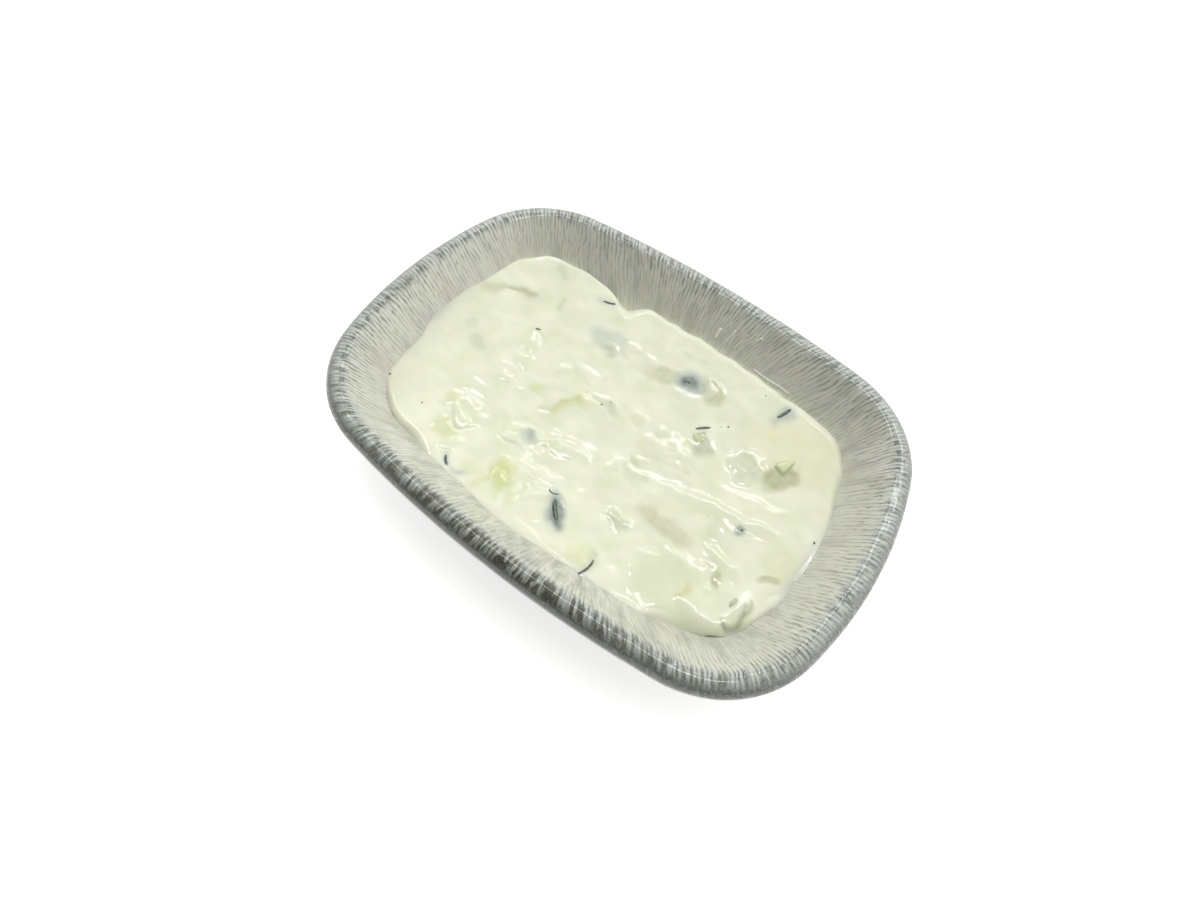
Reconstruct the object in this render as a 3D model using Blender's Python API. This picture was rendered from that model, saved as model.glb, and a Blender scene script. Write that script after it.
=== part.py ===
# Tzatziki dip in its glazed stoneware dish.
# Frame: metres, +Z up, X along the dish, origin on the table under the middle of the foot ring.

import math
import random

import bmesh
import bpy
from mathutils import Matrix, Vector

# Dish seen from above: four long bowed sides joined by four corner arcs, all tangent
DISH_LENGTH = 0.150
DISH_WIDTH = 0.108
DISH_HEIGHT = 0.030
LONG_SIDE_RADIUS = 0.335
SHORT_SIDE_RADIUS = 0.115
CORNER_RADIUS = 0.0306

# Dish in section, from the foot ring up and over the rolled lip
LIP_RADIUS = 0.0033
SHOULDER_RADIUS = 0.010
OUTER_SLOPE = math.radians(45.0)
INNER_SLOPE = math.radians(54.7)
FLOOR_HEIGHT = 0.0055
FLOOR_FILLET = 0.008
FOOT_HEIGHT = 0.0032
FOOT_WIDTH = 0.0045
FOOT_CHAMFER = 0.0005
UNDERSIDE_HEIGHT = 0.0020

# Segments of one quarter of the outline, and of the arcs of the section
SHORT_SIDE_STEPS = 4
CORNER_STEPS = 9
LONG_SIDE_STEPS = 4
LIP_STEPS = 8
SHOULDER_STEPS = 4
FILLET_STEPS = 3

# Clearance between two pieces that touch in the real thing
GAP = 0.0003

# Dip: contact level on the wall, and how much it rises towards the middle
DIP_LEVEL = 0.0178
DIP_CROWN = 0.0011
DIP_SHOULDER = 0.0032
DIP_CELL = 0.0027
DIP_TOP_LIMIT = 0.0265

# Where the edge of the dip runs higher or lower on the wall: direction and spread in degrees, rise
EDGE_LOBES = (
    (150.0, 16.0, 0.0019),
    (178.0, 14.0, 0.0022),
    (122.0, 5.0, -0.0030),
    (20.0, 9.0, -0.0012),
    (-36.0, 8.0, -0.0044),
    (-24.0, 8.0, -0.0012),
    (-96.0, 13.0, 0.0020),
    (-138.0, 5.0, -0.0014),
    (-157.0, 7.0, 0.0014),
)

# Folds that stirring leaves in the top: how many, their size in metres, spread of direction
FOLD_SEED = 11
FOLD_COUNT = 46
FOLD_LENGTH = (0.010, 0.024)
FOLD_WIDTH = (0.0022, 0.0042)
FOLD_RISE = (0.0006, 0.0018)
FOLD_TURN = math.radians(-14.0)
FOLD_SPREAD = math.radians(26.0)

# Cucumber that breaks the surface: middle in x and y, length, width, depth, turn, top above the dip
CUCUMBER = {
    "cucumber_wedge": ("wedge", 0.0435, 0.0195, 0.0088, 0.0074, 0.0062, 35.0, 0.0016),
    "cucumber_lump_right": ("chunk", 0.0350, 0.0130, 0.0088, 0.0066, 0.0056, 30.0, 0.0007),
    "cucumber_slice": ("chunk", 0.0202, 0.0128, 0.0072, 0.0052, 0.0050, 60.0, 0.0009),
    "cucumber_crescent": ("crescent", 0.0522, -0.0236, 0.0108, 0.0050, 0.0038, 96.0, 0.0008),
    "cucumber_chunk_near": ("chunk", 0.0350, -0.0290, 0.0130, 0.0100, 0.0070, -28.0, 0.0008),
    "cucumber_chunk_left": ("chunk", -0.0355, -0.0210, 0.0098, 0.0078, 0.0062, 40.0, 0.0012),
    "cucumber_chunk_green": ("chunk", -0.0146, -0.0320, 0.0108, 0.0084, 0.0060, -30.0, 0.0006),
    "cucumber_core_strip": ("chunk", 0.0244, -0.0140, 0.0150, 0.0036, 0.0042, -3.0, 0.0008),
    "cucumber_seed_oval": ("crescent", 0.0158, -0.0212, 0.0064, 0.0034, 0.0036, -18.0, 0.0008),
    "cucumber_peel_strip": ("peel", 0.0030, -0.0302, 0.0106, 0.0020, 0.0034, -45.0, 0.0006),
}
CUCUMBER_BEVEL = 0.22       # edge rounding of a chunk, as a share of its width
CUCUMBER_MOUND = 0.0007     # how far the dip climbs round each piece
POCKET_RISE = 0.0030        # how far a pocket runs on above its piece


def clear_scene():
    for old in list(bpy.data.objects):
        bpy.data.objects.remove(old, do_unlink=True)


def finish(name, colour, roughness, coat=0.0):
    material = bpy.data.materials.new(name)
    material.use_nodes = True
    shader = material.node_tree.nodes["Principled BSDF"]
    shader.inputs["Base Color"].default_value = (*colour, 1.0)
    shader.inputs["Roughness"].default_value = roughness
    shader.inputs["Metallic"].default_value = 0.0
    shader.inputs["Coat Weight"].default_value = coat
    material.diffuse_color = (*colour, 1.0)
    return material


def add_object(name, bm, material):
    bmesh.ops.recalc_face_normals(bm, faces=bm.faces)
    mesh = bpy.data.meshes.new(name)
    bm.to_mesh(mesh)
    bm.free()
    mesh.shade_smooth()
    mesh.set_sharp_from_angle(angle=math.radians(35.0))
    new = bpy.data.objects.new(name, mesh)
    bpy.context.scene.collection.objects.link(new)
    if material:
        mesh.materials.append(material)
    return new


def make_cutter(cutter):
    cutter.hide_render = True
    cutter.display_type = "WIRE"
    return cutter


def cut(target, cutter, operation):
    boolean = target.modifiers.new(f"{operation} {cutter.name}", "BOOLEAN")
    boolean.operation = operation
    boolean.object = cutter


# The crossing of two circles that lies furthest towards +X and +Y
def circle_crossing(first, first_radius, second, second_radius):
    between = second - first
    distance = between.length
    along = (first_radius ** 2 - second_radius ** 2 + distance ** 2) / (2.0 * distance)
    aside = math.sqrt(first_radius ** 2 - along ** 2)
    direction = between / distance
    foot = first + direction * along
    offset = Vector((-direction.y, direction.x)) * aside
    return max(foot + offset, foot - offset, key=lambda point: point.x + point.y)


LONG_CENTRE = Vector((0.0, DISH_WIDTH / 2 - LONG_SIDE_RADIUS))
SHORT_CENTRE = Vector((DISH_LENGTH / 2 - SHORT_SIDE_RADIUS, 0.0))
CORNER_CENTRE = circle_crossing(LONG_CENTRE, LONG_SIDE_RADIUS - CORNER_RADIUS,
                                SHORT_CENTRE, SHORT_SIDE_RADIUS - CORNER_RADIUS)
LONG_END = math.atan2(*reversed(CORNER_CENTRE - LONG_CENTRE))
SHORT_END = math.atan2(*reversed(CORNER_CENTRE - SHORT_CENTRE))


# Points of one quarter of the outline with their outward directions, from +X round to +Y
def outline_quarter():
    arcs = (
        (SHORT_CENTRE, SHORT_SIDE_RADIUS, 0.0, SHORT_END, SHORT_SIDE_STEPS),
        (CORNER_CENTRE, CORNER_RADIUS, SHORT_END, LONG_END, CORNER_STEPS),
        (LONG_CENTRE, LONG_SIDE_RADIUS, LONG_END, math.pi / 2, LONG_SIDE_STEPS),
    )
    quarter = []
    for centre, radius, start, end, steps in arcs:
        for step in range(steps):
            angle = start + (end - start) * step / steps
            outward = Vector((math.cos(angle), math.sin(angle)))
            quarter.append((centre + outward * radius, outward))
    quarter.append((Vector((0.0, DISH_WIDTH / 2)), Vector((0.0, 1.0))))
    return quarter


# The whole outline: the quarter, mirrored three times
def outline_loop():
    quarter = outline_quarter()
    loop = []
    for flip_x, flip_y in ((1, 1), (-1, 1), (-1, -1), (1, -1)):
        part = quarter if flip_x * flip_y > 0 else list(reversed(quarter))
        for point, outward in part[:-1]:
            loop.append((Vector((point.x * flip_x, point.y * flip_y)),
                         Vector((outward.x * flip_x, outward.y * flip_y))))
    return loop


# How far a place lies inside the outline, measured square to the nearest side
def inset_at(x, y):
    place = Vector((abs(x), abs(y)))
    from_corner = place - CORNER_CENTRE
    angle = math.atan2(from_corner.y, from_corner.x)
    if SHORT_END <= angle <= LONG_END:
        return CORNER_RADIUS - from_corner.length
    return min(LONG_SIDE_RADIUS - (place - LONG_CENTRE).length,
               SHORT_SIDE_RADIUS - (place - SHORT_CENTRE).length)


def section_arc(centre_inset, centre_height, radius, start, end, steps):
    points = []
    for step in range(steps + 1):
        angle = math.radians(start + (end - start) * step / steps)
        points.append((centre_inset - radius * math.cos(angle), centre_height + radius * math.sin(angle)))
    return points


LIP_HEIGHT = DISH_HEIGHT - LIP_RADIUS
INNER_TOP_INSET = LIP_RADIUS * (1.0 + math.sin(INNER_SLOPE))
INNER_TOP_HEIGHT = LIP_HEIGHT + LIP_RADIUS * math.cos(INNER_SLOPE)


def wall_inset(height, gap=0.0):
    return INNER_TOP_INSET + (INNER_TOP_HEIGHT - height) / math.tan(INNER_SLOPE) + gap / math.sin(INNER_SLOPE)


# Inner wall from the fillet's top down to the floor, moved off the dish by gap
def inner_fillet(gap=0.0):
    radius = FLOOR_FILLET - gap
    centre_height = FLOOR_HEIGHT + FLOOR_FILLET
    reach = FLOOR_FILLET * math.sin(INNER_SLOPE)
    tangent_height = centre_height - FLOOR_FILLET * math.cos(INNER_SLOPE)
    centre_inset = wall_inset(tangent_height) + reach
    tilt = 90.0 - math.degrees(INNER_SLOPE)
    return section_arc(centre_inset, centre_height, radius, -tilt, -90.0, FILLET_STEPS)


# Section of the dish, from the underside out over the foot ring, the lip and down to the floor
def dish_section():
    shoulder = section_arc(SHOULDER_RADIUS, LIP_HEIGHT, SHOULDER_RADIUS,
                           -math.degrees(OUTER_SLOPE), 0.0, SHOULDER_STEPS)
    start_inset, start_height = shoulder[0]
    foot_inset = start_inset + (start_height - FOOT_HEIGHT) / math.tan(OUTER_SLOPE)
    foot_inner = foot_inset + FOOT_WIDTH
    foot = [
        (foot_inner + FOOT_CHAMFER, UNDERSIDE_HEIGHT),
        (foot_inner, UNDERSIDE_HEIGHT - FOOT_CHAMFER),
        (foot_inner, FOOT_CHAMFER),
        (foot_inner - FOOT_CHAMFER, 0.0),
        (foot_inset + FOOT_CHAMFER, 0.0),
        (foot_inset, FOOT_CHAMFER),
        (foot_inset, FOOT_HEIGHT),
    ]
    lip = section_arc(LIP_RADIUS, LIP_HEIGHT, LIP_RADIUS, 0.0, 90.0 + math.degrees(INNER_SLOPE), LIP_STEPS)
    return foot + shoulder[:-1] + lip + inner_fillet()


# A solid whose rings follow the outline, closed by a flat face at each end
def ring_solid(section):
    loop = outline_loop()
    bm = bmesh.new()
    rings = []
    for inset, height in section:
        rings.append([bm.verts.new((*(point - outward * inset), height)) for point, outward in loop])
    count = len(loop)
    for lower, upper in zip(rings, rings[1:]):
        for index in range(count):
            following = (index + 1) % count
            bm.faces.new((lower[index], lower[following], upper[following], upper[index]))
    bm.faces.new(reversed(rings[0]))
    bm.faces.new(rings[-1])
    return bm


def edge_level(x, y):
    direction = math.degrees(math.atan2(y, x))
    level = DIP_LEVEL
    for middle, spread, rise in EDGE_LOBES:
        away = (direction - middle + 180.0) % 360.0 - 180.0
        level += rise * math.exp(-(away / spread) ** 2)
    return level


# Long low folds, seeded, that mostly follow the length of the dish
def fold_list():
    draw = random.Random(FOLD_SEED)
    folds = []
    while len(folds) < FOLD_COUNT:
        x = draw.uniform(-0.060, 0.060)
        y = draw.uniform(-0.040, 0.040)
        length = draw.uniform(*FOLD_LENGTH)
        width = draw.uniform(*FOLD_WIDTH)
        rise = draw.uniform(*FOLD_RISE)
        turn = FOLD_TURN + draw.gauss(0.0, 1.0) * FOLD_SPREAD
        if inset_at(x, y) > wall_inset(DIP_LEVEL) + 0.003:
            folds.append((x, y, length / 2, width, rise, math.cos(turn), math.sin(turn)))
    return folds


FOLDS = fold_list()


def fold_rise(x, y):
    rise = 0.0
    for middle_x, middle_y, half, width, height, cosine, sine in FOLDS:
        along = (x - middle_x) * cosine + (y - middle_y) * sine
        across = (y - middle_y) * cosine - (x - middle_x) * sine
        beyond = max(abs(along) - half + width, 0.0)
        away = math.hypot(across, beyond) / width
        rise = max(rise, height * math.exp(-away ** 2))
    return rise


def mound_rise(x, y):
    rise = 0.0
    for _, middle_x, middle_y, length, width, _, _, _ in CUCUMBER.values():
        reach = (length + width) / 3
        away = math.hypot(x - middle_x, y - middle_y) / reach
        rise = max(rise, CUCUMBER_MOUND * math.exp(-away ** 4))
    return rise


# Height of the top of the dip over a place
def dip_height(x, y):
    edge = edge_level(x, y)
    inside = max(inset_at(x, y) - wall_inset(edge), 0.0)
    swell = 1.0 - math.exp(-inside / DIP_SHOULDER)
    return edge + swell * (DIP_CROWN + DIP_LEVEL - edge + fold_rise(x, y) + mound_rise(x, y) * swell)


# A block with the top of the dip as its upper face, larger than the dish
def dip_surface_block():
    bm = bmesh.new()
    columns = math.ceil(DISH_LENGTH / DIP_CELL)
    rows = math.ceil(DISH_WIDTH / DIP_CELL)
    bmesh.ops.create_grid(bm, x_segments=columns, y_segments=rows, size=0.5,
                          matrix=Matrix.Diagonal((DISH_LENGTH, DISH_WIDTH, 1.0, 1.0)))
    top = list(bm.verts)
    lowered = bmesh.ops.extrude_face_region(bm, geom=list(bm.faces))["geom"]
    for vert in lowered:
        if isinstance(vert, bmesh.types.BMVert):
            vert.co.z = dip_height(vert.co.x, vert.co.y)
    for vert in top:
        vert.co.z = -GAP
    return bm


def build_dish(material):
    return add_object("dish", ring_solid(dish_section()), material)


def build_dip(material):
    fillet = inner_fillet(GAP)
    section = [(wall_inset(DIP_TOP_LIMIT, GAP), DIP_TOP_LIMIT)] + fillet
    dip = add_object("tzatziki", ring_solid(section), material)
    block = make_cutter(add_object("dip_surface_block", dip_surface_block(), None))
    cut(dip, block, "INTERSECT")
    return block


# A cut of cucumber of each kind, in a box of its own size about the origin
def chunk_mesh(length, width, depth, draw):
    bm = bmesh.new()
    bmesh.ops.create_cube(bm, size=1.0, matrix=Matrix.Diagonal((length, width, depth, 1.0)))
    for vert in bm.verts:
        vert.co.x *= draw.uniform(0.78, 1.0)
        vert.co.y *= draw.uniform(0.78, 1.0)
    bmesh.ops.bevel(bm, geom=list(bm.edges), offset=width * CUCUMBER_BEVEL, segments=2,
                    profile=0.5, affect="EDGES")
    return bm


def wedge_mesh(length, width, depth, draw):
    bm = chunk_mesh(length, width, depth, draw)
    for vert in bm.verts:
        raised = vert.co.z / depth + 0.5
        vert.co.x *= 1.0 - 0.55 * raised
        vert.co.y *= 1.0 - 0.35 * raised
    return bm


def crescent_mesh(length, width, depth, draw):
    bm = bmesh.new()
    bmesh.ops.create_uvsphere(bm, u_segments=12, v_segments=6, radius=0.5,
                              matrix=Matrix.Diagonal((length, width, depth, 1.0)))
    bow = draw.uniform(0.08, 0.12) * length
    for vert in bm.verts:
        vert.co.y -= bow * (2.0 * vert.co.x / length) ** 2
    return bm


def peel_mesh(length, width, depth, draw):
    bm = chunk_mesh(length, width, depth, draw)
    bmesh.ops.bisect_plane(bm, geom=list(bm.verts) + list(bm.edges) + list(bm.faces),
                           plane_co=(0.0, 0.0, 0.0), plane_no=(1.0, 0.0, 0.0))
    for vert in bm.verts:
        vert.co.y += 0.10 * length * (1.0 - (2.0 * vert.co.x / length) ** 2) - 0.05 * length
    return bm


# Stretches the upper half of a pocket, so that no skin of dip is left over the piece in it
def raise_top(bm):
    for vert in bm.verts:
        if vert.co.z > 0.0:
            vert.co.z += POCKET_RISE


SHAPES = {"chunk": chunk_mesh, "wedge": wedge_mesh, "crescent": crescent_mesh, "peel": peel_mesh}


def build_cucumber(block, flesh, peel):
    for order, (name, values) in enumerate(CUCUMBER.items()):
        kind, x, y, length, width, depth, turn, proud = values
        place = (Matrix.Translation((x, y, dip_height(x, y) + proud - depth / 2))
                 @ Matrix.Rotation(math.radians(turn), 4, "Z"))
        for grown in (0.0, 2.0 * GAP):
            draw = random.Random(order)
            bm = SHAPES[kind](length + grown, width + grown, depth + grown, draw)
            if grown:
                raise_top(bm)
            bmesh.ops.transform(bm, matrix=place, verts=bm.verts)
            if grown:
                pocket = make_cutter(add_object(f"{name}_pocket", bm, None))
                cut(block, pocket, "DIFFERENCE")
            else:
                add_object(name, bm, peel if kind == "peel" else flesh)


def build():
    clear_scene()
    glaze = finish("streaked grey glaze", (0.40, 0.41, 0.37), 0.22, coat=0.5)
    yoghurt = finish("strained yoghurt", (0.83, 0.85, 0.64), 0.30)
    flesh = finish("cucumber flesh", (0.62, 0.70, 0.38), 0.28)
    peel = finish("cucumber peel", (0.03, 0.07, 0.04), 0.30)
    build_dish(glaze)
    block = build_dip(yoghurt)
    build_cucumber(block, flesh, peel)


build()
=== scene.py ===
import math
import random

import bpy
import numpy as np
from mathutils import Matrix, Vector, noise


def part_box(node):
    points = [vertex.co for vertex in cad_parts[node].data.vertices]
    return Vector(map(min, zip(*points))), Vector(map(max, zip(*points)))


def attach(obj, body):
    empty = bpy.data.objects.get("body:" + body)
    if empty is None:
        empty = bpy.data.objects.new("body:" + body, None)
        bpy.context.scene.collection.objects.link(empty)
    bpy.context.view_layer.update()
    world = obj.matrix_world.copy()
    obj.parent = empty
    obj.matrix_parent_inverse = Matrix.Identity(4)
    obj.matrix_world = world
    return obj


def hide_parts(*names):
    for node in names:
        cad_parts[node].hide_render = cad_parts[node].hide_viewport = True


# Tzatziki in its small stoneware dish. The frame is in metres; shapes are worked out in millimetres.
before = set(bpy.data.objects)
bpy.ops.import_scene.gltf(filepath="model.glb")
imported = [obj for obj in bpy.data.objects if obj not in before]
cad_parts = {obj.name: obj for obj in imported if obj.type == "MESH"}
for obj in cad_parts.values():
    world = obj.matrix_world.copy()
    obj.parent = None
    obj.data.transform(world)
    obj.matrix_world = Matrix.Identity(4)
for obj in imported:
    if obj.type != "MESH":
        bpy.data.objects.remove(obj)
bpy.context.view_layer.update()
millimetre = 0.001
bumpDepth = 0.1 * millimetre

dishLow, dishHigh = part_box("dish")
dishLength, dishWidth, dishHeight = (dishHigh - dishLow) / millimetre


# sRGB hex to the linear colour that a shader wants
def linear(hexColour):
    channels = [int(hexColour[i:i + 2], 16) / 255 for i in (1, 3, 5)]
    return tuple(c / 12.92 if c <= 0.04045 else ((c + 0.055) / 1.055) ** 2.4 for c in channels) + (1.0,)


def newMaterial(name):
    material = bpy.data.materials.new(name)
    material.use_nodes = True
    material.node_tree.nodes.clear()
    return material


# Adds a node and gives back one of its outputs; inputs are values or the outputs to link
def addNode(tree, kind, inputs, settings=None, output=0):
    node = tree.nodes.new("ShaderNode" + kind)
    for key, value in (settings or {}).items():
        setattr(node, key, value)
    for key, value in inputs.items():
        if isinstance(value, bpy.types.NodeSocket):
            tree.links.new(value, node.inputs[key])
        else:
            node.inputs[key].default_value = value
    return node.outputs[output] if node.outputs else node


# Gives a new material its shader: roughness and index from its look, the rest from inputs
def finishMaterial(material, look, inputs):
    tree = material.node_tree
    shader = addNode(tree, "BsdfPrincipled", {"Roughness": look["roughness"], "IOR": look["ior"], **inputs})
    addNode(tree, "OutputMaterial", {"Surface": shader})
    return material


def addObject(name, data):
    made = bpy.data.objects.new(name, data)
    bpy.context.scene.collection.objects.link(made)
    return made


# A mesh piece from points in millimetres, riding on the one body
def addPiece(name, points, faces, material, slotName, nodes=(), colours=None):
    mesh = bpy.data.meshes.new(name)
    mesh.from_pydata((np.asarray(points) * millimetre).tolist(), [], faces)
    mesh.materials.append(material)
    if colours is not None:
        layer = mesh.color_attributes.new("tint", "FLOAT_COLOR", "POINT")
        flat = np.ones((len(points), 4), np.float32)
        flat[:, :3] = colours
        layer.data.foreach_set("color", flat.ravel())
    mesh.shade_smooth()
    mesh.update()
    piece = addObject(name, mesh)
    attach(piece, "root")
    if nodes:
        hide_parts(*nodes)
    return piece


# Faces between the neighbours of a grid of point numbers
def gridFaces(index):
    return np.stack([index[:-1, :-1], index[1:, :-1], index[1:, 1:], index[:-1, 1:]], axis=-1).reshape(-1, 4)


# Faces of a closed skin over rings of points, wound for a dish whose rings come up its outside first
def ringFaces(rings, around):
    index = np.arange(rings * around).reshape(rings, around)
    sides = gridFaces(np.column_stack([index, index[:, 0]]).T)
    return sides.tolist() + [index[0, ::-1].tolist(), index[-1].tolist()]


def distanceAlong(points):
    return np.concatenate([[0.0], np.cumsum(np.hypot(*np.diff(points, axis=0).T))])


# Smooth noise at many points, one value each, about -1 to 1
def noiseAt(points, size, shift=0.0):
    return np.array([noise.noise(Vector(p) / size + Vector((shift, shift, shift))) for p in points])


def smoothstep(value, start, end):
    share = np.clip((value - start) / (end - start), 0.0, 1.0)
    return share * share * (3.0 - 2.0 * share)


# Soft swellings round the dish: middle and spread in degrees from its right end, and amount
def amountRound(degrees, entries):
    total = 0.0
    for middle, spread, amount in entries:
        away = (degrees - middle + 180.0) % 360.0 - 180.0
        total = total + amount * np.exp(-(away / spread) ** 2)
    return total


# Places from a middle, a distance along a turned axis and one across it, and the way back
def turnedPlace(middleX, middleY, along, across, turn):
    cosine, sine = math.cos(math.radians(turn)), math.sin(math.radians(turn))
    return middleX + along * cosine - across * sine, middleY + along * sine + across * cosine


def localPlace(x, y, middleX, middleY, turn):
    cosine, sine = math.cos(math.radians(turn)), math.sin(math.radians(turn))
    along = (x - middleX) * cosine + (y - middleY) * sine
    across = (y - middleY) * cosine - (x - middleX) * sine
    return along, across


# Lays a share of one of a look's colours over colours that are there
def tinted(colour, share, look, tint):
    share = np.asarray(share)[..., None]
    return colour * (1.0 - share) + share * np.array(linear(look[tint])[:3])


# The camera: nearly overhead from the front right corner, rolled a little
view = {
    "azimuth": 28.17,
    "elevation": 60.65,
    "roll": 9.77,
    "distance": 157.46,
    "aim": (4.27, -15.31),       # on the plane of the lip
    "lens": 19.18,
}


def addCamera():
    azimuth, elevation, roll = (math.radians(view[key]) for key in ("azimuth", "elevation", "roll"))
    back = Vector((math.sin(azimuth) * math.cos(elevation), -math.cos(azimuth) * math.cos(elevation),
                   math.sin(elevation)))
    right = Vector((0, 0, 1)).cross(back).normalized()
    up = back.cross(right)
    rolledRight = right * math.cos(roll) + up * math.sin(roll)
    rolledUp = up * math.cos(roll) - right * math.sin(roll)
    place = Vector((*view["aim"], dishHeight)) + back * view["distance"]
    data = bpy.data.cameras.new("camera")
    data.sensor_width = 36.0
    data.lens = view["lens"]
    data.clip_start = 0.005
    camera = addObject("camera", data)
    turn = Matrix((rolledRight, rolledUp, back)).transposed()
    camera.matrix_world = Matrix.Translation(place * millimetre) @ turn.to_4x4()
    bpy.context.scene.camera = camera


addCamera()
print("camera set")

# Dish outline: long bowed sides and short bowed sides joined by tangent corner arcs
outline = {
    "longSideRadius": 335.0,
    "shortSideRadius": 115.0,
    "cornerRadius": 30.6,
    "shortSideSteps": 34,
    "cornerSteps": 60,
    "longSideSteps": 56,
}

longCentre = np.array([0.0, dishWidth / 2 - outline["longSideRadius"]])
shortCentre = np.array([dishLength / 2 - outline["shortSideRadius"], 0.0])


def circleCrossing(first, firstRadius, second, secondRadius):
    between = second - first
    distance = np.hypot(*between)
    along = (firstRadius ** 2 - secondRadius ** 2 + distance ** 2) / (2 * distance)
    aside = math.sqrt(firstRadius ** 2 - along ** 2)
    direction = between / distance
    offset = np.array([-direction[1], direction[0]]) * aside
    middle = first + direction * along
    return max(middle + offset, middle - offset, key=sum)


cornerCentre = circleCrossing(longCentre, outline["longSideRadius"] - outline["cornerRadius"],
                              shortCentre, outline["shortSideRadius"] - outline["cornerRadius"])
longEnd = math.atan2(*(cornerCentre - longCentre)[::-1])
shortEnd = math.atan2(*(cornerCentre - shortCentre)[::-1])


# Points once round the dish's edge, the directions that point outwards there, the distance run, and
# the whole way round
def outlineLoop():
    arcs = (
        (shortCentre, outline["shortSideRadius"], 0.0, shortEnd, outline["shortSideSteps"]),
        (cornerCentre, outline["cornerRadius"], shortEnd, longEnd, outline["cornerSteps"]),
        (longCentre, outline["longSideRadius"], longEnd, math.pi / 2, outline["longSideSteps"]),
    )
    quarter, quarterOut = [], []
    for centre, radius, start, end, steps in arcs:
        angles = np.linspace(start, end, steps, endpoint=False)
        outward = np.stack([np.cos(angles), np.sin(angles)], axis=-1)
        quarter.append(centre + outward * radius)
        quarterOut.append(outward)
    quarter.append([[0.0, dishWidth / 2]])
    quarterOut.append([[0.0, 1.0]])
    flips = ((1, 1), (-1, 1), (-1, -1), (1, -1))
    loop, loopOut = (np.concatenate([(np.concatenate(part) * flip)[::flip[0] * flip[1]][:-1]
                                     for flip in flips]) for part in (quarter, quarterOut))
    run = distanceAlong(loop)
    return {"places": loop, "outwards": loopOut, "run": run,
            "length": run[-1] + np.hypot(*(loop[0] - loop[-1]))}


dishEdge = outlineLoop()


# How far places lie inside the outline, square to the nearest side
def insetAt(x, y):
    place = np.stack([np.abs(x), np.abs(y)], axis=-1)
    fromCorner = place - cornerCentre
    angle = np.arctan2(fromCorner[..., 1], fromCorner[..., 0])
    corner = outline["cornerRadius"] - np.linalg.norm(fromCorner, axis=-1)
    sides = np.minimum(outline["longSideRadius"] - np.linalg.norm(place - longCentre, axis=-1),
                       outline["shortSideRadius"] - np.linalg.norm(place - shortCentre, axis=-1))
    return np.where((angle >= shortEnd) & (angle <= longEnd), corner, sides)


# Dish section, from the underside over the foot ring, the rolled lip and down to the floor
section = {
    "lipRadius": 3.3,
    "shoulderRadius": 10.0,
    "outerSlope": 45.0,
    "innerSlope": 54.7,
    "floorHeight": 5.5,
    "floorFillet": 8.0,
    "footHeight": 3.2,
    "footWidth": 4.5,
    "footChamfer": 0.5,
    "undersideHeight": 2.0,
    "undersideReach": 14.0,  # how far the rings go on under the dish
    "step": 0.75,            # longest step along the section
}
innerSlope = math.radians(section["innerSlope"])
outerSlope = math.radians(section["outerSlope"])
lipHeight = dishHeight - section["lipRadius"]
innerTopInset = section["lipRadius"] * (1 + math.sin(innerSlope))
innerTopHeight = lipHeight + section["lipRadius"] * math.cos(innerSlope)


def wallInset(height):
    return innerTopInset + (innerTopHeight - height) / math.tan(innerSlope)


def sectionArc(centreInset, centreHeight, radius, start, end, steps):
    angles = np.radians(np.linspace(start, end, steps + 1))
    return list(zip(centreInset - radius * np.cos(angles), centreHeight + radius * np.sin(angles)))


def dishSection():
    s = section
    shoulder = sectionArc(s["shoulderRadius"], lipHeight, s["shoulderRadius"], -s["outerSlope"], 0, 12)
    footInset = shoulder[0][0] + (shoulder[0][1] - s["footHeight"]) / math.tan(outerSlope)
    footInner = footInset + s["footWidth"]
    foot = [
        (footInner + s["undersideReach"], s["undersideHeight"]),
        (footInner + s["footChamfer"], s["undersideHeight"]),
        (footInner, s["undersideHeight"] - s["footChamfer"]),
        (footInner, s["footChamfer"]),
        (footInner - s["footChamfer"], 0.0),
        (footInset + s["footChamfer"], 0.0),
        (footInset, s["footChamfer"]),
        (footInset, s["footHeight"]),
    ]
    lip = sectionArc(s["lipRadius"], lipHeight, s["lipRadius"], 0, 90 + s["innerSlope"], 20)
    tangentHeight = s["floorHeight"] + s["floorFillet"] * (1 - math.cos(innerSlope))
    filletInset = wallInset(tangentHeight) + s["floorFillet"] * math.sin(innerSlope)
    fillet = sectionArc(filletInset, s["floorHeight"] + s["floorFillet"], s["floorFillet"],
                        s["innerSlope"] - 90, -90, 8)
    corners = foot + shoulder[:-1] + lip + fillet
    points = [corners[0]]
    for start, end in zip(corners, corners[1:]):
        pieces = max(1, math.ceil(math.dist(start, end) / s["step"]))
        for share in np.linspace(0, 1, pieces + 1)[1:]:
            points.append(tuple(np.array(start) * (1 - share) + np.array(end) * share))
    return np.array(points)


# Glazed stoneware: a grey clay, dipped in a milky glaze that broke into fine runs down the walls as it
# melted. The eye gets a warm pale wall with faint combed lines, a cooler lip where the glaze is thick,
# a row of dark dots where it thinned over the edge, a dark wiped near side, trickles that end on a plain
# grey outside, and a glossy skin over it all. The outside's grey is painted darker as painted shade, and
# darker still from a little below the lip towards the foot.
glazeLook = {
    "wallPale": "#d2d3c6",
    "wallDark": "#808177",
    "wallWarm": "#cac8b9",
    "lipPale": "#c0c5be",
    "lipDark": "#6e736b",
    "mark": "#565b54",       # the thinned glaze of the dots
    # painted shade: the outside colours are darker than the glaze itself, and the underside colour darker
    # again
    "outsidePale": "#7f837d",
    "outsideDark": "#5c6159",
    "underside": "#5f645e",
    "olive": "#424334",
    "runSpacing": 1.25,      # mm between the combed runs
    "jitter": 7.0,           # how far a run strays, in radians of the comb's wave
    "combInLines": 0.17,     # how much the even runs show among the fine lines, and among the dots
    "combInMarks": 0.09,
    "wander": (0.12, 1.6),   # bends in a millimetre of a run, and how far aside it goes
    "relief": 0.06,
    "roughness": 0.075,
    "ior": 1.52,
}
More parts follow.
